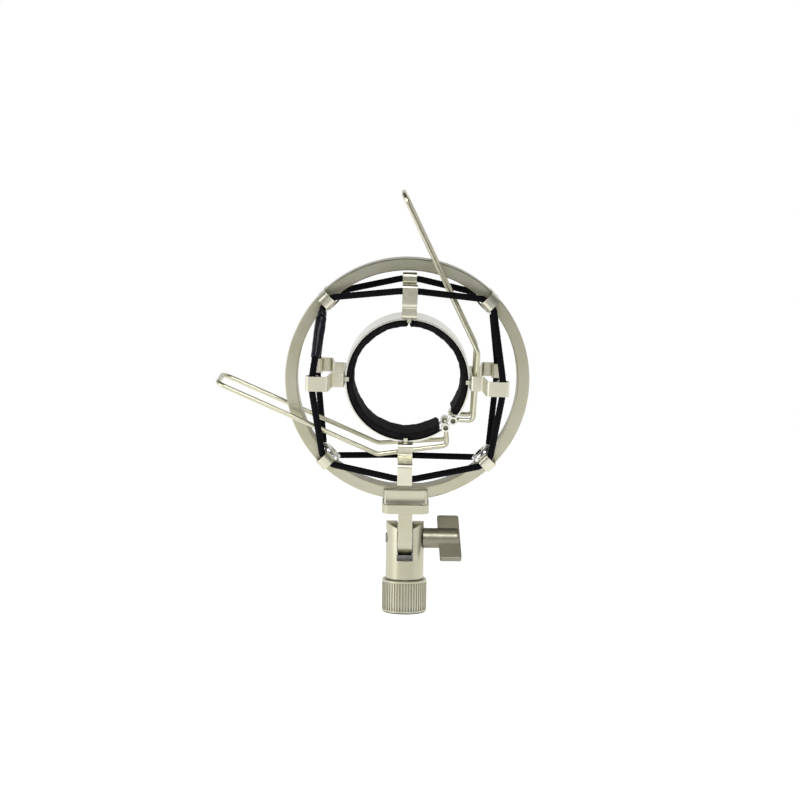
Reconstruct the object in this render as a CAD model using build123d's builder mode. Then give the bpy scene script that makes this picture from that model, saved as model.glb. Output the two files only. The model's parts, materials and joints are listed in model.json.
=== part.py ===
from build123d import *
from math import cos, pi, radians, sin
import os

# Cat's-cradle shock mount for a side-address microphone.
# Millimetres.  +Z is up, +X is to the right and -Y is the front.
# The origin is the centre of the stand collar's lower face.
# The whole head leans forward about the pivot by LEAN.

# ---- driving dimensions -------------------------------------------------
LEAN = 6.5                 # forward lean of the head at rest, degrees
PIVOT_Z = 35.5             # tilt pivot above the collar's lower face
RING_Z = 112.9             # centre of the ring, head upright
CRADLE_RISE = 1.1          # the cradle's centre above the ring's, where the cords hold it
CRADLE_TURN = -0.9         # and how far it hangs turned, degrees

COLLAR_R = 10.7
COLLAR_H = 16.1
FLUTES = 50
FLUTE_R = 0.38
COLLAR_GAP = 0.06          # between the collar and the fork above it
THREAD_R = 7.5             # 5/8 inch, 27 threads per inch stand thread
THREAD_DEPTH = 9.2
RELIEF_R = 8.1             # room for the circlip above the thread
WEB_Z = 11.5               # lower face of the collar's top web

FORK_R = 9.15
FORK_TOP = 43.7
CROWN_R = 14.0
SLOT_W = 7.6
SLOT_Z = (25.25, 26.3)     # the slot's floor, at the front and at the rear
SPIGOT_R = 5.0
RUN = 0.06                 # radial running clearance of the pivots

TONGUE_W = 6.8
TONGUE_R = 8.5
FLANGE_Z = (49.2, 53.9)
FLANGE_X, FLANGE_Y = 22.4, 18.4
SADDLE_TOP = 60.8
SADDLE_X, SADDLE_Y = 20.6, 17.0

RING_OUT = 57.5
RING_IN = 51.9
RING_W = 10.5

BAND_OUT = 29.3
BAND_T = 0.8
BAND_W = 24.6
FOAM_T = 3.2
FOAM_W = 23.6

STRIP_T = 0.9              # sheet thickness of every hook and bracket
HOOK_W = 5.2
BRACKET_W = 6.8

CORD_R = 1.55
CORD_GAP = 0.1             # between a cord and the hook it lies in
OUTER_SEAT = (10.5, 52.7)  # |y| and radius of a cord's centre at the ring
INNER_SEAT = (27.0, 43.6)  # the same at the cradle

WIRE_R = 1.1
NECK_Y = 7.6               # half the spacing of a lever's legs beside its eye
LEG_Y = 13.5               # and at the far end
EYE_R = 28.8               # pitch radius of the rolled eyes
EYE_OUT = 1.95
EYE_Y = (8.9, 12.3)        # each rolled tube, from its inner to its outer end
EYE_HALF_ANGLE = 4.7
GAP_ANGLE = -45.0 + CRADLE_TURN

SCREW_R = 2.45
BARREL_R = 4.85
BARREL_X = (8.4, 26.1)
WING_TOP_X = (15.3, 25.7)  # the wing leans outward from its upper to its lower end
WING_FOOT_X = (16.8, 27.2)
WING_L = 11.9
WING_T = 3.6
WING_TURN = 38.0

CENTRE = Vector(0, 0, RING_Z)
HUB = CENTRE + Vector(0, 0, CRADLE_RISE)
PIVOT = Vector(0, 0, PIVOT_Z)
PIVOT_AXIS = Axis(tuple(PIVOT), (1, 0, 0))
ACROSS = Plane(origin=tuple(PIVOT), x_dir=(0, 1, 0), z_dir=(1, 0, 0))
FACE_ON = Plane(origin=tuple(CENTRE), x_dir=(1, 0, 0), z_dir=(0, -1, 0))
CRADLE_ON = Plane(origin=tuple(HUB), x_dir=(1, 0, 0), z_dir=(0, -1, 0))

os.makedirs("parts", exist_ok=True)


def save(part, name, leaning=True):
    """Label a finished piece, lean it with the head and write its STEP."""
    piece = part.rotate(PIVOT_AXIS, LEAN) if leaning else part
    piece.label = name
    export_step(piece, f"parts/{name}.step")


def spoke(angle, centre=CENTRE):
    """Plane through the ring's axis: local x is Y, local y is the radius."""
    a = radians(angle)
    return Plane(origin=tuple(centre), x_dir=(0, 1, 0), z_dir=(sin(a), 0, -cos(a)))


def spoke_point(angle, radius, y, centre=CENTRE):
    a = radians(angle)
    return centre + Vector(radius * cos(a), y, radius * sin(a))


def seat_plane(angle, radius, centre=CENTRE):
    """Plane that faces the ring's axis, at a radius on a spoke."""
    a = radians(angle)
    return Plane(
        origin=tuple(spoke_point(angle, radius, 0, centre)),
        x_dir=(sin(a), 0, -cos(a)),
        z_dir=(-cos(a), 0, -sin(a)),
    )


# ---- stand collar, a knurled nut that turns on the fork's spigot ---------
with BuildPart() as knurled_collar:
    Cylinder(COLLAR_R, COLLAR_H, align=(Align.CENTER, Align.CENTER, Align.MIN))
    rims = knurled_collar.edges().filter_by(GeomType.CIRCLE)
    chamfer(rims, 0.5)
    with BuildSketch(Plane.XY.offset(1.4)):
        with PolarLocations(COLLAR_R - 0.1, FLUTES):
            Circle(FLUTE_R)
    extrude(amount=COLLAR_H - 2.8, mode=Mode.SUBTRACT)
    with BuildSketch(Plane.XY):
        Circle(THREAD_R)
    extrude(amount=WEB_Z, mode=Mode.SUBTRACT)
    with BuildSketch(Plane.XY.offset(THREAD_DEPTH)):
        Circle(RELIEF_R)
    extrude(amount=WEB_Z - THREAD_DEPTH, mode=Mode.SUBTRACT)
    with BuildSketch(Plane.XY):
        Circle(SPIGOT_R + RUN)
    extrude(amount=COLLAR_H, mode=Mode.SUBTRACT)
save(knurled_collar.part, "knurled_collar", leaning=False)

# ---- fork: round body with a crowned top and a slot for the tongue -------
RING_GROOVE = (10.2, 11.02)
SPOT_X = 8.3
NUT_FLATS = 8.0
NUT_X = (-8.4, -4.7)
with BuildPart() as fork_stem:
    with BuildSketch(Plane.XY.offset(COLLAR_H + COLLAR_GAP)):
        Circle(FORK_R)
    extrude(amount=FORK_TOP - COLLAR_H - COLLAR_GAP)
    chamfer(fork_stem.edges().filter_by(GeomType.CIRCLE).group_by(Axis.Z)[0], 0.15)
    with BuildSketch(Plane.YZ):
        with Locations((0, FORK_TOP - CROWN_R)):
            Circle(CROWN_R)
        with Locations((0, 0)):
            Rectangle(2 * FORK_R + 1, FORK_TOP - CROWN_R,
                      align=(Align.CENTER, Align.MIN))
    extrude(amount=FORK_R + 1, both=True, mode=Mode.INTERSECT)
    with BuildSketch(Plane.YZ.offset(-SLOT_W / 2)):
        Polygon((-FORK_R - 1, SLOT_Z[0]), (FORK_R + 1, SLOT_Z[1]), (FORK_R + 1, FORK_TOP + 1),
                (-FORK_R - 1, FORK_TOP + 1), align=None)
    extrude(amount=SLOT_W, mode=Mode.SUBTRACT)
    with BuildSketch(Plane.XY.offset(RING_GROOVE[0] - 0.6)):
        Circle(SPIGOT_R)
    extrude(amount=COLLAR_H + 1 - RING_GROOVE[0])
    with BuildSketch(Plane.XY.offset(RING_GROOVE[0])):
        Circle(SPIGOT_R + 1)
        Circle(SPIGOT_R - 0.7, mode=Mode.SUBTRACT)
    extrude(amount=RING_GROOVE[1] - RING_GROOVE[0], mode=Mode.SUBTRACT)
    with BuildSketch(ACROSS.offset(-FORK_R - 1)):
        Circle(SCREW_R + RUN)
    extrude(amount=2 * FORK_R + 2, mode=Mode.SUBTRACT)
    with BuildSketch(ACROSS.offset(SPOT_X)):
        Circle(BARREL_R + 0.4)
    extrude(amount=2, mode=Mode.SUBTRACT)
    with BuildSketch(ACROSS.offset(NUT_X[1] + 0.05)):
        RegularPolygon(NUT_FLATS / 2 + 0.05, 6, major_radius=False)
    extrude(amount=-5, mode=Mode.SUBTRACT)
save(fork_stem.part, "fork_stem", leaning=False)

# ---- pieces that keep the collar on the spigot ---------------------------
with BuildPart() as retaining_circlip:
    with BuildSketch(Plane.XY.offset(RING_GROOVE[0] + 0.03)):
        Circle(6.5)
        Circle(SPIGOT_R - 0.65, mode=Mode.SUBTRACT)
        with Locations((0, 6)):
            Rectangle(3.2, 6, mode=Mode.SUBTRACT)
    extrude(amount=0.75)
save(retaining_circlip.part, "retaining_circlip", leaning=False)

with BuildPart() as swivel_washer:
    with BuildSketch(Plane.XY.offset(11.05)):
        Circle(7.1)
        Circle(SPIGOT_R + 0.1, mode=Mode.SUBTRACT)
    extrude(amount=0.4)
save(swivel_washer.part, "swivel_washer", leaning=False)

# ---- pivot nut, held in the fork's left ear ------------------------------
with BuildPart() as pivot_nut:
    with BuildSketch(ACROSS.offset(NUT_X[0])):
        RegularPolygon(NUT_FLATS / 2, 6, major_radius=False)
        Circle(SCREW_R + RUN, mode=Mode.SUBTRACT)
    extrude(amount=NUT_X[1] - NUT_X[0])
    outer_rim = pivot_nut.edges().filter_by(GeomType.LINE).group_by(Axis.X)[0]
    chamfer(outer_rim, 0.35)
save(pivot_nut.part, "pivot_nut", leaning=False)

with BuildPart() as friction_washers:
    for side in (-1, 1):
        with BuildSketch(ACROSS.offset(side * 3.6)):
            Circle(7.6)
            Circle(SCREW_R + 0.2, mode=Mode.SUBTRACT)
        extrude(amount=0.15, both=True)
save(friction_washers.part, "friction_washers", leaning=False)

# ---- thumb screw: shaft, barrel and a flat wing across the barrel --------
WING = Plane(origin=tuple(PIVOT), x_dir=(1, 0, 0),
             z_dir=(0, cos(radians(WING_TURN)), -sin(radians(WING_TURN))))
with BuildPart() as thumb_screw:
    with BuildSketch(ACROSS.offset(-9.35)):
        Circle(SCREW_R)
    extrude(amount=9.35 + BARREL_X[0] + 1)
    chamfer(thumb_screw.edges().group_by(Axis.X)[0], 0.4)
    with BuildSketch(ACROSS.offset(BARREL_X[0])):
        Circle(BARREL_R)
    extrude(amount=BARREL_X[1] - BARREL_X[0])
    barrel_ends = thumb_screw.edges().filter_by(GeomType.CIRCLE).filter_by(
        lambda e: e.radius > BARREL_R - 0.01)
    fillet(barrel_ends.sort_by(Axis.X)[0], 0.5)
    fillet(barrel_ends.sort_by(Axis.X)[-1], 1.2)
    with BuildSketch(WING):
        Polygon((WING_TOP_X[0], -WING_L), (WING_TOP_X[1], -WING_L),
                (WING_FOOT_X[1], WING_L), (WING_FOOT_X[0], WING_L), align=None)
        fillet(vertices(), 1.0)
    extrude(amount=WING_T / 2, both=True)
    wing_rims = thumb_screw.faces().filter_by(GeomType.PLANE).filter_by(
        lambda f: abs(f.normal_at().dot(WING.z_dir)) > 0.999)
    fillet(wing_rims.edges().filter_by(
        lambda e: abs(WING.to_local_coords(e.center()).Y) > BARREL_R), 0.45)
save(thumb_screw.part, "thumb_screw", leaning=False)

# ---- tilt tongue with its flange, under the saddle -----------------------
BLOCK_SCREW_X = 7.0
BLOCK_SCREW_R = 1.5
HEAD_R = 2.9
HEAD_H = 1.35
with BuildPart() as tilt_tongue:
    with BuildSketch(ACROSS):
        Circle(TONGUE_R)
        with Locations((0, (FLANGE_Z[0] - PIVOT_Z) / 2)):
            Rectangle(2 * TONGUE_R, FLANGE_Z[0] - PIVOT_Z)
    extrude(amount=TONGUE_W / 2, both=True)
    with BuildSketch(Plane.XY.offset(FLANGE_Z[0])):
        RectangleRounded(FLANGE_X, FLANGE_Y, 4.0)
    extrude(amount=FLANGE_Z[1] - FLANGE_Z[0])
    flange_rim = tilt_tongue.faces().sort_by(Axis.Z)[-1].edges()
    chamfer(flange_rim, 0.4)
    with BuildSketch(ACROSS.offset(-TONGUE_W)):
        Circle(SCREW_R + RUN)
    extrude(amount=2 * TONGUE_W, mode=Mode.SUBTRACT)
    with Locations(*[Location((x, 0, FLANGE_Z[0]), (180, 0, 0))
                     for x in (-BLOCK_SCREW_X, BLOCK_SCREW_X)]):
        CounterSinkHole(BLOCK_SCREW_R + 0.03, HEAD_R + 0.03,
                        depth=FLANGE_Z[1] - FLANGE_Z[0] + 1,
                        counter_sink_angle=90)
save(tilt_tongue.part, "tilt_tongue")

# ---- saddle block: two cheeks that hold the ring, scooped front and rear --
SCOOP_R = 7.5
SCOOP_DEPTH = 0.6
SCOOP_Z = 56.9
SCOOP_X = 9.3
with BuildPart() as saddle_block:
    with BuildSketch(Plane.XY.offset(FLANGE_Z[1])):
        RectangleRounded(SADDLE_X, SADDLE_Y, 1.6)
    extrude(amount=SADDLE_TOP - FLANGE_Z[1])
    chamfer(saddle_block.faces().sort_by(Axis.Z)[-1].edges(), 0.3)
    with BuildSketch(FACE_ON):
        Circle(RING_OUT + 0.02)
    extrude(amount=RING_W / 2 + 0.02, both=True, mode=Mode.SUBTRACT)
    with BuildSketch(Plane.YZ.offset(-SCOOP_X)):
        for side in (-1, 1):
            with Locations((side * (SADDLE_Y / 2 + SCOOP_R - SCOOP_DEPTH), SCOOP_Z)):
                Circle(SCOOP_R)
    extrude(amount=2 * SCOOP_X, mode=Mode.SUBTRACT)
    with Locations(*[Location((x, 0, FLANGE_Z[1])) for x in (-BLOCK_SCREW_X, BLOCK_SCREW_X)]):
        Hole(BLOCK_SCREW_R + 0.03)
save(saddle_block.part, "saddle_block")

with BuildPart() as block_screws:
    for x in (-BLOCK_SCREW_X, BLOCK_SCREW_X):
        with BuildSketch(Plane(origin=(x, 0, FLANGE_Z[0]), x_dir=(1, 0, 0),
                               z_dir=(0, -1, 0))):
            Polygon((0, 0.05), (HEAD_R - 0.05, 0.05), (BLOCK_SCREW_R, HEAD_H),
                    (BLOCK_SCREW_R, 9.4), (0, 9.4), align=None)
        revolve(axis=Axis((x, 0, 0), (0, 0, 1)))
    with Locations(*[Location((x, 0, FLANGE_Z[0])) for x in (-BLOCK_SCREW_X, BLOCK_SCREW_X)]):
        Box(3.6, 0.7, 1.4, mode=Mode.SUBTRACT)
save(block_screws.part, "block_screws")

# ---- outer ring ----------------------------------------------------------
HOOK_ANGLES = {"upper_right": 45, "upper_left": 135, "lower_left": 225,
               "lower_right": 315}
RIVET_R = 1.9
NOTCH_DEPTH = 0.75         # the clips lie let into the ring's outer face
with BuildPart() as outer_ring:
    with BuildSketch(FACE_ON):
        Circle(RING_OUT)
        Circle(RING_IN, mode=Mode.SUBTRACT)
    extrude(amount=RING_W / 2, both=True)
    chamfer(outer_ring.edges().filter_by(GeomType.CIRCLE), 0.45)
    for angle in HOOK_ANGLES.values():
        with BuildSketch(seat_plane(angle, 0)):
            Circle(RIVET_R + 0.02)
        extrude(amount=-RING_OUT - 1, mode=Mode.SUBTRACT)
        with BuildSketch(seat_plane(angle, RING_OUT + 1)):
            Rectangle(HOOK_W + 0.2, RING_W + 2)
        extrude(amount=NOTCH_DEPTH + 1, mode=Mode.SUBTRACT)
    for x in (-BLOCK_SCREW_X, BLOCK_SCREW_X):
        with BuildSketch(Plane.XY.offset(FLANGE_Z[0])):
            with Locations((x, 0)):
                Circle(BLOCK_SCREW_R + 0.03)
        extrude(amount=9.5, mode=Mode.SUBTRACT)
save(outer_ring.part, "outer_ring")

# ---- hook clips on the ring, one strip over both faces at each diagonal --
CLIP_R = RING_OUT - NOTCH_DEPTH + 0.05 + STRIP_T / 2
LIP_Y = OUTER_SEAT[0] + CORD_R + CORD_GAP + STRIP_T / 2
SEAT_R = OUTER_SEAT[1] - CORD_R - CORD_GAP - STRIP_T / 2
CLIP_HALF = [(LIP_Y - 4.6, SEAT_R), (LIP_Y, SEAT_R), (LIP_Y, CLIP_R)]
CLIP_BENDS = [1.95, 3.2]


def strip(name, plane, half, bends, width):
    """A folded strip, the same in front of and behind the plane y = 0."""
    path = [(-y, r) for y, r in half] + [(y, r) for y, r in reversed(half)]
    with BuildPart() as folded:
        with BuildSketch(plane.offset(-width / 2)):
            with BuildLine():
                FilletPolyline(*path, radius=bends + bends[::-1])
            trace(line_width=STRIP_T)
        extrude(amount=width)
    folded.part.label = name
    return folded


for side, angle in HOOK_ANGLES.items():
    clip = strip("clip", spoke(angle), CLIP_HALF, CLIP_BENDS, HOOK_W)
    with BuildPart() as outer_hook:
        add(clip.part)
        with BuildSketch(seat_plane(angle, RING_OUT - NOTCH_DEPTH)):
            Circle(RIVET_R + 0.02)
        extrude(amount=-3, mode=Mode.SUBTRACT)
    save(outer_hook.part, f"outer_hook_{side}")

# ---- rivets of the hook clips: flat head outside, dished oval head inside -
HEAD_LONG, HEAD_WIDE = 6.0, 5.0
HEAD_SEAT = RING_IN - 0.4
HEAD_STEPS = [(0, 0), (1.2, 0.15), (2.5, 1.3)]     # height and how far it draws in
DISH_STEPS = [(2.52, 2.0), (1.2, 3.6)]


def spoke_axis(angle, centre=CENTRE):
    a = radians(angle)
    return Axis(tuple(centre), (cos(a), 0, sin(a)))


def rivet_outline(inner, seat, shank_r, head_r, head_h):
    """Half outline of a rivet: local y is the distance from the ring's axis."""
    Polygon((0, inner), (shank_r, inner), (shank_r, seat), (head_r, seat),
            (head_r, seat + head_h / 2), (head_r - 0.6, seat + head_h),
            (0, seat + head_h), align=None)


with BuildPart() as hook_rivets:
    for angle in HOOK_ANGLES.values():
        for height, draw in HEAD_STEPS:
            with BuildSketch(seat_plane(angle, HEAD_SEAT - height)):
                Ellipse(HEAD_LONG - draw, HEAD_WIDE - draw)
        loft()
        for height, draw in DISH_STEPS:
            with BuildSketch(seat_plane(angle, HEAD_SEAT - height)):
                Ellipse(HEAD_LONG - draw, HEAD_WIDE - draw)
        loft(mode=Mode.SUBTRACT)
        with BuildSketch(spoke(angle)):
            rivet_outline(HEAD_SEAT - 0.8, CLIP_R + STRIP_T / 2 + 0.02, RIVET_R, 2.4, 0.2)
        revolve(axis=spoke_axis(angle))
save(hook_rivets.part, "hook_rivets")


# ---- clamp band: a sprung C with a pair of rolled eyes at each end -------
EYE_ANGLES = (GAP_ANGLE - EYE_HALF_ANGLE, GAP_ANGLE + EYE_HALF_ANGLE)
NECK_HALF_ANGLE = 11.0
BRACKET_ANGLES = {side: turn + CRADLE_TURN for side, turn in
                  {"right": 0, "top": 90, "left": 180, "bottom": 270}.items()}
PIN_R = 1.5


def polar(angle, radius):
    return radius * cos(radians(angle)), radius * sin(radians(angle))


def band_outline(half_gap):
    """Outline of the band, open by half_gap degrees each side of the gap."""
    Circle(BAND_OUT)
    Circle(BAND_OUT - BAND_T, mode=Mode.SUBTRACT)
    Polygon((0, 0), polar(GAP_ANGLE - half_gap, 2 * BAND_OUT),
            polar(GAP_ANGLE + half_gap, 2 * BAND_OUT), align=None, mode=Mode.SUBTRACT)


eyes = [polar(angle, EYE_R) for angle in EYE_ANGLES]
with BuildPart() as clamp_band:
    with BuildSketch(CRADLE_ON.offset(-BAND_W / 2)):
        band_outline(NECK_HALF_ANGLE)
    extrude(amount=BAND_W)
    for near in (EYE_Y[0], -EYE_Y[1]):
        with BuildSketch(CRADLE_ON.offset(near)):
            band_outline(EYE_HALF_ANGLE)
            with Locations(*eyes):
                Circle(EYE_OUT)
                Circle(WIRE_R + 0.09, mode=Mode.SUBTRACT)
        extrude(amount=EYE_Y[1] - EYE_Y[0])
    for angle in BRACKET_ANGLES.values():
        with BuildSketch(seat_plane(angle, 0, HUB)):
            Circle(PIN_R + 0.02)
        extrude(amount=-BAND_OUT - 2, mode=Mode.SUBTRACT)
save(clamp_band.part, "clamp_band")

# ---- foam lining in two pieces -------------------------------------------
FOAM_OUT = BAND_OUT - BAND_T - 0.05
FOAM_ARCS = {"foam_lining_left": (90.6, 305.4), "foam_lining_right": (-35.4, 89.4)}
for name, (start, end) in FOAM_ARCS.items():
    with BuildPart() as foam:
        with BuildSketch(CRADLE_ON.offset(-FOAM_W / 2)):
            with BuildLine():
                CenterArc((0, 0), FOAM_OUT - FOAM_T / 2, start + CRADLE_TURN, end - start)
            trace(line_width=FOAM_T)
        extrude(amount=FOAM_W)
    save(foam.part, name)

# ---- inner brackets: base on the band, arms, and a rolled hook each side -
BASE_R = BAND_OUT + 0.03 + STRIP_T / 2
ARM_Y = 15.7
STEP_R = 35.3
BACK_Y = INNER_SEAT[0] - CORD_R - CORD_GAP - STRIP_T / 2
FACE_Y = 29.6
TIP_R = INNER_SEAT[1] - CORD_R - CORD_GAP - STRIP_T / 2
CREST_R = 46.2
BRACKET_HALF = [(BACK_Y + 3.4, TIP_R), (BACK_Y, TIP_R), (BACK_Y, CREST_R),
                (FACE_Y, CREST_R), (FACE_Y, STEP_R + 1.4), (ARM_Y, STEP_R),
                (ARM_Y, BASE_R)]
BRACKET_BENDS = [1.2, 1.6, 1.1, 1.4, 1.2, 1.3]
TAB_W = 1.9
TAB_REACH = 27.3           # the tabs fold over the band's edges to this radius
for side, angle in BRACKET_ANGLES.items():
    folded_strip = strip("bracket", spoke(angle, HUB), BRACKET_HALF, BRACKET_BENDS,
                         BRACKET_W)
    with BuildPart() as inner_bracket:
        add(folded_strip.part)
        with BuildSketch(spoke(angle, HUB)):
            for turn in (-1, 1):
                with Locations((turn * (BAND_W / 2 + 0.1 + STRIP_T / 2), TAB_REACH)):
                    Rectangle(STRIP_T, BASE_R - TAB_REACH,
                              align=(Align.CENTER, Align.MIN))
        extrude(amount=TAB_W / 2, both=True)
        with BuildSketch(seat_plane(angle, BAND_OUT - 1, HUB)):
            Circle(PIN_R + 0.02)
        extrude(amount=-3, mode=Mode.SUBTRACT)
    save(inner_bracket.part, f"inner_bracket_{side}")

with BuildPart() as bracket_rivets:
    for angle in BRACKET_ANGLES.values():
        with BuildSketch(spoke(angle, HUB)):
            rivet_outline(BAND_OUT - BAND_T, BASE_R + STRIP_T / 2 + 0.02, PIN_R, 2.5, 0.45)
        revolve(axis=spoke_axis(angle, HUB))
save(bracket_rivets.part, "bracket_rivets")

# ---- wire levers: each a long U whose ends turn out into a pair of eyes --
PIN_END = 10.3
LEVER_SPREAD = [NECK_Y, NECK_Y, LEG_Y, LEG_Y]
LEVER_BENDS = [1.3, 2.2, 5.0, 4.5]
lever_lines = {
    "lower_lever": [eyes[0], (19.3, -31.5), (-13.45, -34.9), (-88.55, -2.2)],
    "upper_lever": [eyes[1], (31.2, -19.4), (32.7, 13.8), (-2.7, 86.3)],
}
for name, line in lever_lines.items():
    near_leg = [HUB + Vector(line[0][0], -PIN_END, line[0][1])]
    near_leg += [HUB + Vector(x, -y, z) for (x, z), y in zip(line, LEVER_SPREAD)]
    far_leg = [Vector(p.X, -p.Y, p.Z) for p in reversed(near_leg)]
    with BuildPart() as lever:
        with BuildLine() as bent_wire:
            FilletPolyline(*near_leg, *far_leg, radius=LEVER_BENDS + LEVER_BENDS[::-1])
        with BuildSketch(Plane(origin=bent_wire.line @ 0, z_dir=bent_wire.line % 0)):
            Circle(WIRE_R)
        sweep()
    save(lever.part, name)

# ---- elastic loops, front and rear ---------------------------------------
OUTER_HALF = 3.3           # half the straight stretch across a ring hook
INNER_HALF = 4.2           # and across a cradle hook
OUTER_BEND = 3.4
INNER_BEND = 8.0


def tangent(angle):
    a = radians(angle)
    return Vector(-sin(a), 0, cos(a))


def loop_corners(face):
    """Corners of a closed loop: two at each of the eight hooks in turn."""
    corners = []
    for step in range(8):
        angle = 45 * step
        at_cradle = step % 2 == 0
        y, r = INNER_SEAT if at_cradle else OUTER_SEAT
        half = INNER_HALF if at_cradle else OUTER_HALF
        if at_cradle:
            angle += CRADLE_TURN
        middle = spoke_point(angle, r, face * y, HUB if at_cradle else CENTRE)
        corners += [middle - tangent(angle) * half, middle + tangent(angle) * half]
    return corners


def loop_wire(face):
    corners = loop_corners(face)
    bends = [INNER_BEND, INNER_BEND, OUTER_BEND, OUTER_BEND] * 4
    return FilletPolyline(*corners, radius=bends, close=True, mode=Mode.PRIVATE)


for name, face in {"front_elastic_loop": -1, "rear_elastic_loop": 1}.items():
    route = loop_wire(face)
    with BuildPart() as elastic:
        for stretch in route.edges():
            with BuildSketch(Plane(origin=stretch @ 0, z_dir=stretch % 0)):
                Circle(CORD_R)
            sweep(path=stretch)
    section = pi * CORD_R ** 2
    print(name, "length", round(route.length, 1), "volume over section x length",
          round(elastic.part.volume / (section * route.length), 4))
    save(elastic.part, name)

# ---- sleeve over the splice of the front loop, on the upper left span ----
corners = loop_corners(-1)
span_top, span_left = corners[7], corners[8]
run = span_left - span_top
SLEEVE_SPAN = (0.06, 0.76)
SLEEVE_R = (2.6, 2.0)
sleeve_start = span_top + run * SLEEVE_SPAN[0]
sleeve_length = run.length * (SLEEVE_SPAN[1] - SLEEVE_SPAN[0])
along_sleeve = Plane(origin=sleeve_start, z_dir=run.normalized())
with BuildPart() as splice_sleeve:
    for distance, radius in zip((0, sleeve_length), SLEEVE_R):
        with BuildSketch(along_sleeve.offset(distance)):
            Circle(radius)
    loft()
    fillet(splice_sleeve.edges().filter_by(GeomType.CIRCLE), 0.4)
    with BuildSketch(along_sleeve):
        Circle(CORD_R + 0.03)
    extrude(amount=sleeve_length, mode=Mode.SUBTRACT)
save(splice_sleeve.part, "splice_sleeve")
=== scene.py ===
import json
import math

import bpy
import numpy as np
from mathutils import Matrix, Vector


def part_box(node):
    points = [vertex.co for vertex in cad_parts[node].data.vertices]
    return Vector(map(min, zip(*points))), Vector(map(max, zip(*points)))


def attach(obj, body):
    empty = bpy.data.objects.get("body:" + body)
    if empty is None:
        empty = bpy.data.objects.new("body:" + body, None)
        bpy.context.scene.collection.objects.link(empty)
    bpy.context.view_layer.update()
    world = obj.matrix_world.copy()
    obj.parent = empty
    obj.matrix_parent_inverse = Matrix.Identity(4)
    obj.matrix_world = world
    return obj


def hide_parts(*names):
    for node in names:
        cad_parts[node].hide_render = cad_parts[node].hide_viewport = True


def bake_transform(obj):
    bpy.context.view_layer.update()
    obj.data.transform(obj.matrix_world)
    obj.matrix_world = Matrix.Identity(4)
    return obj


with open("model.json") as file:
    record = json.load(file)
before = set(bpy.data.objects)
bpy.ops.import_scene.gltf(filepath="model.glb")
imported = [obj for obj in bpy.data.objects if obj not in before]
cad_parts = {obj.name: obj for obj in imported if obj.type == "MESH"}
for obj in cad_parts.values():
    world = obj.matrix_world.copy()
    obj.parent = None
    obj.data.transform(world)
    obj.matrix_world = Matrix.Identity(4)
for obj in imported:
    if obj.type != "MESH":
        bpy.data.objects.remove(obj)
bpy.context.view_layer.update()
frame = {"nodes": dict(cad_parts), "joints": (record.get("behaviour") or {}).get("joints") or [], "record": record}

# ---- places taken from the frame ------------------------------------------
JOINTS = {joint["name"]: joint for joint in frame["joints"]}
MOUNTS = {mount["name"]: mount for mount in frame["record"]["mounts"]}
HUB = Vector(MOUNTS["mic_clamp"]["pos_m"])             # centre of the cradle
RING_BOX = [Vector(corner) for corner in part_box("outer_ring")]
CENTRE = (RING_BOX[0] + RING_BOX[1]) / 2               # centre of the ring
FORWARD = Vector(MOUNTS["mic_clamp"]["axis"])          # out of the clamp's front
HEAD_UP = Vector(JOINTS["cradle_float"]["axis"])
RIGHT = Vector((1, 0, 0))
MM = 0.001


def place(centre, x, y, z):
    """A place in the leaned head: right, back and up from a centre, in mm."""
    return centre + (RIGHT * x - FORWARD * y + HEAD_UP * z) * MM


def add_object(name, data):
    """A new object in the scene."""
    made = bpy.data.objects.new(name, data)
    bpy.context.scene.collection.objects.link(made)
    return made


def mix_colours(tree, mix, first, second):
    """Links two colours into a colour mix node and gives its result."""
    first_input, second_input = [i for i in mix.inputs if i.type == "RGBA"]
    tree.links.new(first, first_input)
    tree.links.new(second, second_input)
    return next(o for o in mix.outputs if o.type == "RGBA")


def set_stops(colour_ramp, stops):
    """Gives a new colour ramp its stops: positions and colours."""
    elements = colour_ramp.elements
    while len(elements) < len(stops):
        elements.new(0.5)
    for element, (position, colour) in zip(elements, stops):
        element.position = position
        element.color = colour


def even_grey(value):
    return (value, value, value, 1)


# ---- shader helper ---------------------------------------------------------
CREVICE_FULL, CREVICE_NONE = 0.25, 0.68     # open sky share: full painted shade below, none above


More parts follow.
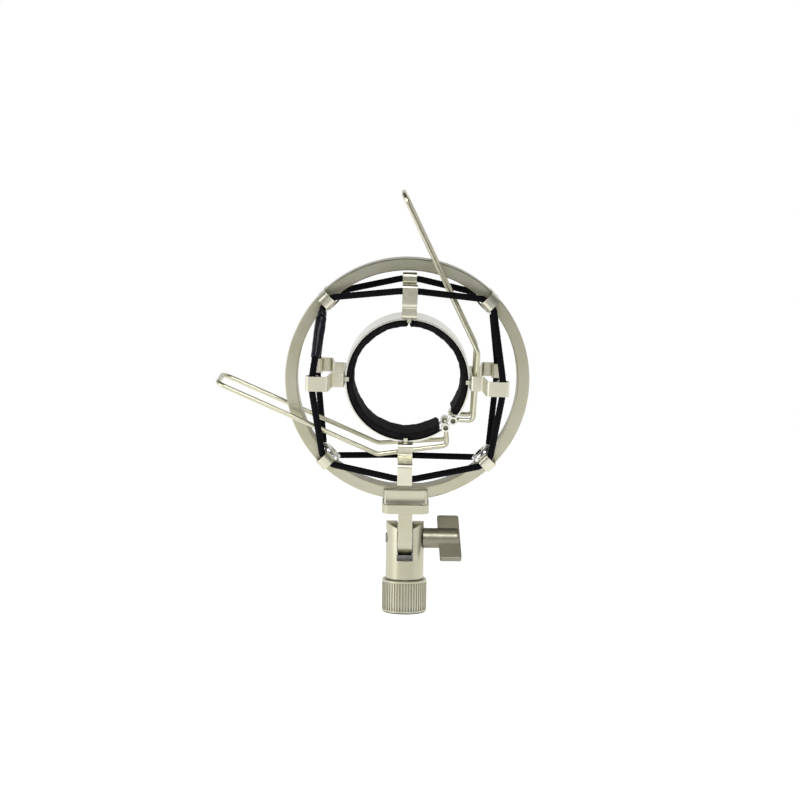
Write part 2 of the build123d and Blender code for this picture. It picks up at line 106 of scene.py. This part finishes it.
class Shader:
    """A small builder for one procedural material."""

    def __init__(self, name):
        self.material = bpy.data.materials.new(name)
        self.material.use_nodes = True
        self.tree = self.material.node_tree
        self.bsdf = self.tree.nodes["Principled BSDF"]
        self.coordinates = self.tree.nodes.new("ShaderNodeTexCoord")

    def set(self, **values):
        for key, value in values.items():
            self.bsdf.inputs[key.replace("_", " ")].default_value = value

    def node(self, kind, **settings):
        made = self.tree.nodes.new(kind)
        for key, value in settings.items():
            setattr(made, key, value)
        return made

    def link(self, out, into):
        """Links an output to an input, or to the surface's input of that name."""
        if isinstance(into, str):
            into = self.bsdf.inputs[into]
        self.tree.links.new(out, into)

    def noise(self, scale, detail, roughness=0.55, stretch=(1, 1, 1)):
        mapping = self.node("ShaderNodeMapping")
        mapping.inputs["Scale"].default_value = stretch
        self.link(self.coordinates.outputs["Object"], mapping.inputs["Vector"])
        noise = self.node("ShaderNodeTexNoise")
        noise.inputs["Scale"].default_value = scale
        noise.inputs["Detail"].default_value = detail
        noise.inputs["Roughness"].default_value = roughness
        self.link(mapping.outputs["Vector"], noise.inputs["Vector"])
        return noise.outputs["Fac"]

    def ramp(self, fac, stops):
        ramp = self.node("ShaderNodeValToRGB")
        set_stops(ramp.color_ramp, stops)
        self.link(fac, ramp.inputs["Fac"])
        return ramp.outputs["Color"]

    def spread(self, fac, low, high):
        """Maps a 0 to 1 factor onto a range of values."""
        spread = self.node("ShaderNodeMapRange")
        spread.inputs["To Min"].default_value = low
        spread.inputs["To Max"].default_value = high
        self.link(fac, spread.inputs["Value"])
        return spread.outputs["Result"]

    def bump(self, height, strength, distance, under=None):
        bump = self.node("ShaderNodeBump")
        bump.inputs["Strength"].default_value = strength
        bump.inputs["Distance"].default_value = distance
        self.link(height, bump.inputs["Height"])
        if under is not None:
            self.link(under, bump.inputs["Normal"])
        return bump.outputs["Normal"]

    def painted_crevice_shade(self, colour, depth, dark):
        """Paints shade into a colour: darkens it in grooves and corners, by how little open sky they see."""
        occlusion = self.node("ShaderNodeAmbientOcclusion", samples=8)
        occlusion.inputs["Distance"].default_value = depth
        shade = self.ramp(occlusion.outputs["AO"],
                          [(CREVICE_FULL, even_grey(dark)), (CREVICE_NONE, even_grey(1))])
        mix = self.node("ShaderNodeMix", data_type="RGBA", blend_type="MULTIPLY")
        mix.inputs["Factor"].default_value = 1.0
        return mix_colours(self.tree, mix, colour, shade)


def grey(value, warm):
    """A near-neutral colour, a little yellow as warm grows."""
    return (value * (1 + 0.25 * warm), value * (1 + 0.13 * warm), value * (1 - warm), 1)


# ---- materials -------------------------------------------------------------
def satin_nickel(name, value, warm, roughness, grain, groove_shade=0.5, reach=1.0):
    """Champagne nickel plate over a tumbled casting or strip.

    How dark the painted shade in the grooves gets is set by the argument after grain, and reach is how wide a
    groove still darkens, in mm.
    """
    shader = Shader(name)
    shader.set(Metallic=1.0)
    broad = shader.noise(60, 3)
    fine = shader.noise(2600, 3, 0.6)
    colour = shader.ramp(broad, [(0.3, grey(value * 0.93, warm * 1.15)),
                                 (0.7, grey(value * 1.04, warm * 0.85))])
    # Painted shade: the base colour darkens in grooves and corners.
    shader.link(shader.painted_crevice_shade(colour, reach * MM, groove_shade), "Base Color")
    rough = shader.spread(shader.noise(340, 4), roughness * 0.8, roughness * 1.25)
    shader.link(rough, "Roughness")
    pits = shader.bump(fine, 0.22 * grain, 0.04 * MM)
    waves = shader.bump(shader.noise(420, 2), 0.10 * grain, 0.2 * MM, pits)
    shader.link(waves, "Normal")
    return shader.material


# Painted shade in the grooves of polished plate: how wide it reaches, in m, and how dark it gets.
PLATE_REACH, PLATE_GROOVE_SHADE = 2.0 * MM, 0.04


def bright_plate(name, value, warm, roughness, stretch=(1, 1, 1)):
    """Polished plate with faint smudges, and drawing lines where the noise is stretched."""
    shader = Shader(name)
    shader.set(Metallic=1.0)
    smudge = shader.noise(180, 5, 0.6)
    colour = shader.ramp(smudge, [(0.3, grey(value * 0.95, warm)),
                                  (0.75, grey(value, warm * 0.8))])
    # Painted shade: the base colour darkens in grooves and corners.
    shader.link(shader.painted_crevice_shade(colour, PLATE_REACH, PLATE_GROOVE_SHADE), "Base Color")
    shader.link(shader.spread(smudge, roughness * 0.7, roughness * 1.4), "Roughness")
    lines = shader.noise(900, 3, 0.5, stretch)
    shader.link(shader.bump(lines, 0.05, 0.02 * MM), "Normal")
    return shader.material


def braid():
    """Black woven sheath; the strands themselves are in the mesh."""
    shader = Shader("braided_sheath")
    shader.set(Specular_IOR_Level=0.06)
    fuzz = shader.noise(5200, 4, 0.7)
    colour = shader.ramp(fuzz, [(0.3, (0.0015, 0.0015, 0.002, 1)),
                                (0.8, (0.006, 0.006, 0.008, 1))])
    shader.link(colour, "Base Color")
    shader.link(shader.spread(fuzz, 0.62, 0.9), "Roughness")
    shader.link(shader.bump(fuzz, 0.5, 0.12 * MM), "Normal")
    return shader.material


def heat_shrink():
    """Black shrunk tube, half glossy and rippled."""
    shader = Shader("heat_shrink_tube")
    shader.set(Specular_IOR_Level=0.2)
    patch = shader.noise(500, 4, 0.6)
    colour = shader.ramp(patch, [(0.35, (0.002, 0.002, 0.004, 1)),
                                 (0.75, (0.010, 0.011, 0.018, 1))])
    shader.link(colour, "Base Color")
    shader.link(shader.spread(patch, 0.22, 0.42), "Roughness")
    shader.link(shader.bump(shader.noise(1100, 3), 0.35, 0.15 * MM), "Normal")
    return shader.material


def foam_rubber():
    """Fine-celled dark foam with a dull skin."""
    shader = Shader("foam_rubber")
    shader.set(Specular_IOR_Level=0.08)
    cells = shader.node("ShaderNodeTexVoronoi")
    cells.inputs["Scale"].default_value = 2300
    shader.link(shader.coordinates.outputs["Object"], cells.inputs["Vector"])
    mottle = shader.noise(300, 4, 0.6)
    colour = shader.ramp(mottle, [(0.3, (0.004, 0.0035, 0.004, 1)),
                                  (0.8, (0.014, 0.012, 0.013, 1))])
    shader.link(colour, "Base Color")
    shader.link(shader.spread(mottle, 0.7, 0.92), "Roughness")
    pores = shader.bump(cells.outputs["Distance"], 0.6, 0.16 * MM)
    lumps = shader.bump(mottle, 0.3, 0.4 * MM, pores)
    shader.link(lumps, "Normal")
    return shader.material


def nylon():
    """Natural white nylon."""
    shader = Shader("natural_nylon")
    mottle = shader.noise(700, 3)
    colour = shader.ramp(mottle, [(0.3, (0.55, 0.54, 0.50, 1)),
                                  (0.8, (0.68, 0.67, 0.63, 1))])
    shader.link(colour, "Base Color")
    shader.link(shader.spread(mottle, 0.4, 0.55), "Roughness")
    return shader.material


FLOOR_GLOW = 0.84


def pale_floor():
    """White paper that glows a little, so that it meets the backdrop unseen."""
    shader = Shader("pale_floor")
    mottle = shader.noise(9, 3)
    colour = shader.ramp(mottle, [(0.3, even_grey(0.58)), (0.7, even_grey(0.62))])
    shader.link(colour, "Base Color")
    shader.set(Roughness=0.6, Specular_IOR_Level=0.2, Emission_Color=even_grey(1),
               Emission_Strength=FLOOR_GLOW)
    return shader.material


# Brightness, warmth and roughness, then what sets each one apart: grain, and for some, how dark and how wide the
# painted shade in the grooves is.
STEM = satin_nickel("satin_stem", 0.50, 0.22, 0.34, grain=1.6, groove_shade=0.03, reach=4.0)
KNOB = satin_nickel("satin_knob", 0.25, 0.22, 0.40, grain=1.8)
RING = satin_nickel("satin_ring", 0.48, 0.22, 0.38, grain=1.4)
STRIP = satin_nickel("satin_strip", 0.64, 0.18, 0.32, grain=1.2, groove_shade=0.25, reach=2.5)
BAND = bright_plate("polished_band", 0.72, 0.10, 0.24, stretch=(1, 1, 12))
CHROME = bright_plate("chrome_rivets", 0.80, 0.0, 0.09)
WIRE = bright_plate("spring_wire", 0.60, 0.24, 0.30, stretch=(1, 12, 1))
ZINC = bright_plate("zinc_fasteners", 0.40, 0.06, 0.34)
BRAID = braid()
SHRINK = heat_shrink()
FOAM = foam_rubber()
NYLON = nylon()

SLOT_MATERIALS = {
    "satin_stem": STEM, "satin_knob": KNOB, "satin_ring": RING, "satin_strip": STRIP,
    "polished_band": BAND, "chrome_rivets": CHROME, "spring_wire": WIRE,
    "zinc_fasteners": ZINC, "nylon": NYLON, "elastic_cord": BRAID,
    "heat_shrink": SHRINK, "foam_rubber": FOAM,
}
for part in frame["record"]["subparts"]:
    cad_node = frame["nodes"][part["node"]]
    for material_slot in cad_node.material_slots:
        material_slot.link = "OBJECT"
        material_slot.material = SLOT_MATERIALS[part["material_slot"]]


# ---- mesh helpers ----------------------------------------------------------
def skin(name, rows, material):
    """A closed piece from rings of points: quads between rings, a cap at each end."""
    count, sides = rows.shape[:2]
    index = np.arange(count * sides).reshape(count, sides)
    a, b = index[:-1], index[1:]
    quads = np.stack((a, np.roll(a, -1, 1), np.roll(b, -1, 1), b), axis=2).reshape(-1, 4)
    faces = quads.tolist() + [index[0][::-1].tolist(), index[-1].tolist()]
    mesh = bpy.data.meshes.new(name)
    mesh.from_pydata(rows.reshape(-1, 3).tolist(), [], faces)
    mesh.polygons.foreach_set("use_smooth", [True] * (len(faces) - 2) + [False] * 2)
    mesh.materials.append(material)
    mesh.update()
    piece = add_object(name, mesh)
    return piece


BEND_POINTS = 13


def rounded(corners, radii, step):
    """Even points along a polyline whose inner corners are rounded, and how far along they are."""
    line = [np.array(corners[0])]
    for before, corner, after, radius in zip(corners, corners[1:], corners[2:], radii):
        back = np.array(before - corner)
        ahead = np.array(after - corner)
        back /= np.linalg.norm(back)
        ahead /= np.linalg.norm(ahead)
        half = math.acos(float(back @ ahead)) / 2
        bisector = (back + ahead) / np.linalg.norm(back + ahead)
        middle = np.array(corner) + bisector * radius / math.sin(half)
        first = np.array(corner) + back * radius / math.tan(half) - middle
        last = np.array(corner) + ahead * radius / math.tan(half) - middle
        for t in np.linspace(0, 1, BEND_POINTS):
            arm = first * (1 - t) + last * t
            line.append(middle + arm / np.linalg.norm(arm) * radius)
    line.append(np.array(corners[-1]))
    line = np.array(line)
    reach = np.concatenate(([0], np.cumsum(np.linalg.norm(np.diff(line, axis=0), axis=1))))
    marks = np.linspace(0, reach[-1], int(round(reach[-1] / step)) + 1)
    return np.stack([np.interp(marks, reach, line[:, k]) for k in range(3)], axis=1), marks


def rings_along(line, sides):
    """Directions from a line to the rings of points around it, and each point's angle."""
    ahead = np.gradient(line, axis=0)
    ahead /= np.linalg.norm(ahead, axis=1)[:, None]
    across = np.cross(ahead[0], np.array(HEAD_UP) + 0.3 * np.array(RIGHT))
    across /= np.linalg.norm(across)
    first, second = [], []
    for direction in ahead:
        across = across - direction * float(across @ direction)
        across /= np.linalg.norm(across)
        first.append(across)
        second.append(np.cross(direction, across))
    turn = np.linspace(0, 2 * math.pi, sides, endpoint=False)
    spokes = (np.array(first)[:, None] * np.cos(turn)[None, :, None]
              + np.array(second)[:, None] * np.sin(turn)[None, :, None])
    return spokes, turn


# ---- elastic loops: a woven sheath, span by span ---------------------------
CORD_R = 1.55 * MM
OUTER_SEAT, INNER_SEAT = (10.5, 52.7), (27.0, 43.6)     # how far out in y and in radius, mm
OUTER_HALF, INNER_HALF = 3.3, 4.2                       # half the stretch across a hook, mm
OUTER_BEND, INNER_BEND = 3.4 * MM, 8.0 * MM
CRADLE_TURN = -0.9                                      # degrees
SPANS = 8                                               # in each loop, one per pair of hooks
WEAVE_SIDES, WEAVE_STEP = 36, 0.34 * MM
WEAVE_PICKS, WEAVE_PITCH, WEAVE_RISE = 6, 2.1 * MM, 0.075 * MM
WEAVE_SINK = 0.6                                        # share of the rise below the surface


def hook_corners(step, face):
    """The middle of the cord over a hook, and the offset to each side of it."""
    at_cradle = step % 2 == 0
    y, radius = INNER_SEAT if at_cradle else OUTER_SEAT
    half = INNER_HALF if at_cradle else OUTER_HALF
    angle = math.radians(360 / SPANS * step + (CRADLE_TURN if at_cradle else 0))
    centre = HUB if at_cradle else CENTRE
    middle = place(centre, radius * math.cos(angle), face * y, radius * math.sin(angle))
    side = (RIGHT * -math.sin(angle) + HEAD_UP * math.cos(angle)) * half * MM
    return middle, side


def span_corners(step, face):
    """Corners of the cord from one ring hook to the cradle hook beside it."""
    outer = step if step % 2 else step + 1
    inner = step + 1 if step % 2 else step
    outer_middle, outer_side = hook_corners(outer, face)
    inner_middle, inner_side = hook_corners(inner, face)
    way = 1 if inner > outer else -1
    return [outer_middle, outer_middle + outer_side * way,
            inner_middle - inner_side * way, inner_middle]


def add_spans():
    """Both loops as woven spans that bend between the ring and the cradle."""
    for loop, face in (("front", -1), ("rear", 1)):
        for step in range(SPANS):
            corners = span_corners(step, face)
            line, marks = rounded(corners, (OUTER_BEND, INNER_BEND), WEAVE_STEP)
            spokes, turn = rings_along(line, WEAVE_SIDES)
            repeats = round(marks[-1] / WEAVE_PITCH)
            along = (marks / marks[-1] * repeats * math.pi)[:, None]
            around = (turn * WEAVE_PICKS)[None, :]
            weave = np.cos(around + along) * np.cos(around - along)
            radius = CORD_R - WEAVE_RISE * WEAVE_SINK + WEAVE_RISE * weave
            rows = line[:, None] + spokes * radius[:, :, None]
            span = skin(f"{loop}_elastic_span_{step + 1}", rows, BRAID)
            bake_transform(span)
            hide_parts(f"{loop}_elastic_loop")


# ---- shrunk sleeve over the splice ------------------------------------------
SLEEVE_STEP = 3                                         # the front span that it covers
SLEEVE_SPAN = (0.06, 0.76)                              # from where to where on that span
SLEEVE_SHAPE = [(0.0, 1.72), (0.03, 2.02), (0.11, 2.0), (0.155, 2.5), (0.34, 2.58),
                (0.62, 2.36), (0.93, 2.1), (0.985, 2.0), (1.0, 1.72)]     # share, radius in mm
SLEEVE_RINGS, SLEEVE_SIDES = 120, 48
FOLD, CREASE, DENT = 0.06, 0.035, 0.05                  # how uneven the tube is, mm
SMOOTH_END = 1 / 14                                     # share over which it grows uneven


def add_sleeve():
    """The shrunk, slightly crumpled tube over the front loop's splice."""
    corners = span_corners(SLEEVE_STEP, -1)
    top, foot = np.array(corners[1]), np.array(corners[2])
    t = np.linspace(0, 1, SLEEVE_RINGS)
    share = SLEEVE_SPAN[0] + t * (SLEEVE_SPAN[1] - SLEEVE_SPAN[0])
    line = top[None, :] * (1 - share[:, None]) + foot[None, :] * share[:, None]
    spokes, turn = rings_along(line, SLEEVE_SIDES)
    places, sizes = zip(*SLEEVE_SHAPE)
    radius = np.interp(t, places, sizes)[:, None] * np.ones(SLEEVE_SIDES)[None, :]
    fold = np.sin(3 * turn[None, :] + 5.0 * t[:, None] + 0.6)
    crease = np.sin(26 * t[:, None] + 2 * np.sin(turn[None, :] + 1.0))
    dent = np.sin(2 * turn[None, :] - 9 * t[:, None])
    body = np.clip(np.minimum(t, 1 - t)[:, None] / SMOOTH_END, 0, 1)
    radius = (radius + body * (FOLD * fold + CREASE * crease + DENT * dent)) * MM
    rows = line[:, None] + spokes * radius[:, :, None]
    sleeve = skin("shrunk_sleeve", rows, SHRINK)
    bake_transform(sleeve)
    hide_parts("splice_sleeve")


# ---- foam lining: rounded edges, a little uneven ----------------------------
FOAM_R = (25.25, 28.42)                                 # inner and outer radius, mm
FOAM_THICK = FOAM_R[1] - FOAM_R[0]
FOAM_W = 23.6
FOAM_EDGE = 1.1                                         # radius of the rounded edges, mm
FOAM_ARCS = {"left": (90.6, 305.4), "right": (-35.4, 89.4)}     # degrees
FOAM_RINGS_PER_DEGREE = 0.8
EDGE_POINTS, FACE_POINTS = 7, 14
# Unevenness of the inner face: size in mm, waves along the arc, waves across it, and shift.
FOAM_WAVES = [(0.11, 9, 0.3, 0), (0.08, 23, 0, 1.1), (0.06, 4, 0.9, 0), (0.05, 51, -0.8, 0)]


def foam_section():
    """A rounded rectangle: y across the width and the radius from the hub, in mm."""
    low, high = FOAM_R
    points = []
    corners = [(FOAM_W / 2, high, 0), (-FOAM_W / 2, high, 90),
               (-FOAM_W / 2, low, 180), (FOAM_W / 2, low, 270)]
    for y, r, first in corners:
        centre_y = y - math.copysign(FOAM_EDGE, y)
        centre_r = r + (FOAM_EDGE if r == low else -FOAM_EDGE)
        for turn in np.radians(np.linspace(first, first + 90, EDGE_POINTS)):
            points.append((centre_y + FOAM_EDGE * math.cos(turn),
                           centre_r + FOAM_EDGE * math.sin(turn)))
        if first in (0, 180):
            across = math.copysign(FOAM_W / 2 - FOAM_EDGE, y)
            for share in np.linspace(0, 1, FACE_POINTS)[1:-1]:
                points.append((across * (1 - 2 * share), r))
    return np.array(points)


def add_foam():
    """The two foam strips inside the band, with rounded and slightly uneven faces."""
    section = foam_section()
    right, forward, up = np.array(RIGHT), np.array(FORWARD), np.array(HEAD_UP)
    middle_r = sum(FOAM_R) / 2
    for side, (start, end) in FOAM_ARCS.items():
        count = int((end - start) * FOAM_RINGS_PER_DEGREE)
        angles = np.radians(np.linspace(start, end, count) + CRADLE_TURN)
        arc_mm = np.abs(angles - angles[0]) * middle_r
        from_end = np.minimum(arc_mm, arc_mm[-1] - arc_mm)
        rows = []
        for angle, depth in zip(angles, from_end):
            draw = FOAM_EDGE * (1 - math.sqrt(1 - (1 - min(depth / FOAM_EDGE, 1)) ** 2))
            y = section[:, 0] * (1 - 2 * draw / FOAM_W)
            thin = (FOAM_THICK - 2 * draw) / FOAM_THICK
            r = middle_r + (section[:, 1] - middle_r) * thin
            inner = np.clip((FOAM_R[1] - r) / FOAM_THICK, 0, 1)
            wave = sum(size * np.sin(along * angle + across * y + shift)
                       for size, along, across, shift in FOAM_WAVES)
            r = r + inner * wave
            rows.append(np.array(HUB) + (right * (r * math.cos(angle))[:, None]
                                         - forward * y[:, None]
                                         + up * (r * math.sin(angle))[:, None]) * MM)
        foam = skin(f"foam_strip_{side}", np.array(rows), FOAM)
        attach(foam, "cradle")
        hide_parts(f"foam_lining_{side}")


add_spans()
add_sleeve()
add_foam()


# ---- stage: a pale floor ---------------------------------------------------
FLOOR_EDGE = 1.10                                       # behind the object, m
FLOOR_FRONT = 0.50                                      # in front of it
FLOOR_REACH = 3.0                                       # to each side


def add_stage():
    """One flat sheet at the foot of the collar."""
    floor = bpy.data.meshes.new("floor")
    corners = [(-FLOOR_REACH, -FLOOR_FRONT, 0), (FLOOR_REACH, -FLOOR_FRONT, 0),
               (FLOOR_REACH, FLOOR_EDGE, 0), (-FLOOR_REACH, FLOOR_EDGE, 0)]
    floor.from_pydata(corners, [], [(0, 1, 2, 3)])
    floor.materials.append(pale_floor())
    piece = add_object("floor", floor)


add_stage()


# ---- camera and lights -----------------------------------------------------
DISTANCE = 0.8406                                       # along the view to the ring, m
PITCH = math.radians(3.5)                               # looking down
ROLL = math.radians(-0.8)
FOCAL_PX = 1776.0
FRAME_PX = 800
SENSOR_MM = 36.0
AIM = Vector((-0.0033, 0.0101))                         # moves the camera right and down, m


def add_camera():
    """The camera at the photograph's angle."""
    lens = bpy.data.cameras.new("camera")
    lens.sensor_width = SENSOR_MM
    lens.lens = FOCAL_PX / FRAME_PX * SENSOR_MM
    lens.clip_start = 0.05
    camera = add_object("camera", lens)
    bpy.context.scene.camera = camera
    ahead = Vector((0, math.cos(PITCH), -math.sin(PITCH)))
    up = Vector((0, math.sin(PITCH), math.cos(PITCH)))
    spot = CENTRE - ahead * DISTANCE + RIGHT * AIM.x - up * AIM.y
    turned_right = RIGHT * math.cos(ROLL) - up * math.sin(ROLL)
    turned_up = up * math.cos(ROLL) + RIGHT * math.sin(ROLL)
    basis = Matrix((turned_right, turned_up, -ahead)).transposed()
    camera.matrix_world = Matrix.Translation(spot) @ basis.to_4x4()


def add_light(name, spot, size, energy):
    """A softbox that faces the object and stays out of the picture."""
    data = bpy.data.lights.new(name, "AREA")
    data.shape = "RECTANGLE"
    data.size, data.size_y = size
    data.energy = energy
    light = add_object(name, data)
    light.location = spot
    light.rotation_euler = (CENTRE - Vector(spot)).to_track_quat("-Z", "Y").to_euler()
    light.visible_camera = False


# Room brightness by height, from straight down to straight up, in front and behind.
ROOM_FRONT = [(0.0, 0.14), (0.46, 0.22), (0.52, 0.24), (0.66, 0.16), (0.78, 0.04), (1.0, 0.02)]
ROOM_BEHIND = [(0.0, 0.9), (0.48, 1.0), (0.66, 0.90), (0.82, 0.30), (1.0, 0.06)]
# How the room in front of the object passes into the room behind it, along y.
ROOM_CHANGE = [(0.0, 0.0), (0.35, 0.0), (0.62, 1.0), (1.0, 1.0)]


def add_world():
    """A white backdrop in the picture, and a room with a dark ceiling in the reflections."""
    world = bpy.data.worlds.new("studio")
    bpy.context.scene.world = world
    world.use_nodes = True
    tree = world.node_tree
    room = tree.nodes["Background"]

    def node(kind):
        return tree.nodes.new(kind)

    where = node("ShaderNodeTexCoord")
    parts = node("ShaderNodeSeparateXYZ")
    tree.links.new(where.outputs["Generated"], parts.inputs["Vector"])

    def ramp(out, stops):
        """Brightness along one direction, which runs from -1 to 1."""
        spread = node("ShaderNodeMapRange")
        spread.inputs["From Min"].default_value = -1
        tree.links.new(out, spread.inputs["Value"])
        made = node("ShaderNodeValToRGB")
        made.color_ramp.interpolation = "EASE"
        set_stops(made.color_ramp, [(position, even_grey(value)) for position, value in stops])
        tree.links.new(spread.outputs["Result"], made.inputs["Fac"])
        return made.outputs["Color"]

    mix = node("ShaderNodeMix")
    mix.data_type = "RGBA"
    front = ramp(parts.outputs["Z"], ROOM_FRONT)
    behind = ramp(parts.outputs["Z"], ROOM_BEHIND)
    share = ramp(parts.outputs["Y"], ROOM_CHANGE)
    tree.links.new(share, mix.inputs["Factor"])
    tree.links.new(mix_colours(tree, mix, front, behind), room.inputs["Color"])
    room.inputs["Strength"].default_value = 1.0

    backdrop = node("ShaderNodeBackground")
    backdrop.inputs["Color"].default_value = even_grey(1)
    rays = node("ShaderNodeLightPath")
    either = node("ShaderNodeMixShader")
    tree.links.new(rays.outputs["Is Camera Ray"], either.inputs["Fac"])
    tree.links.new(room.outputs["Background"], either.inputs[1])
    tree.links.new(backdrop.outputs["Background"], either.inputs[2])
    tree.links.new(either.outputs["Shader"], tree.nodes["World Output"].inputs["Surface"])


# Name, place in m, width and height in m, and power in W.
SOFTBOXES = [
    ("front_softbox", (0.05, -0.90, 0.78), (0.5, 0.34), 6.5),
    ("left_softbox", (-1.0, -0.55, 0.35), (0.5, 0.8), 5),
    ("right_softbox", (1.1, -0.35, 0.35), (0.3, 0.8), 0.8),
]

add_camera()
add_world()
for softbox in SOFTBOXES:
    add_light(*softbox)
bpy.context.scene.view_settings.view_transform = "Standard"

bpy.context.view_layer.update()
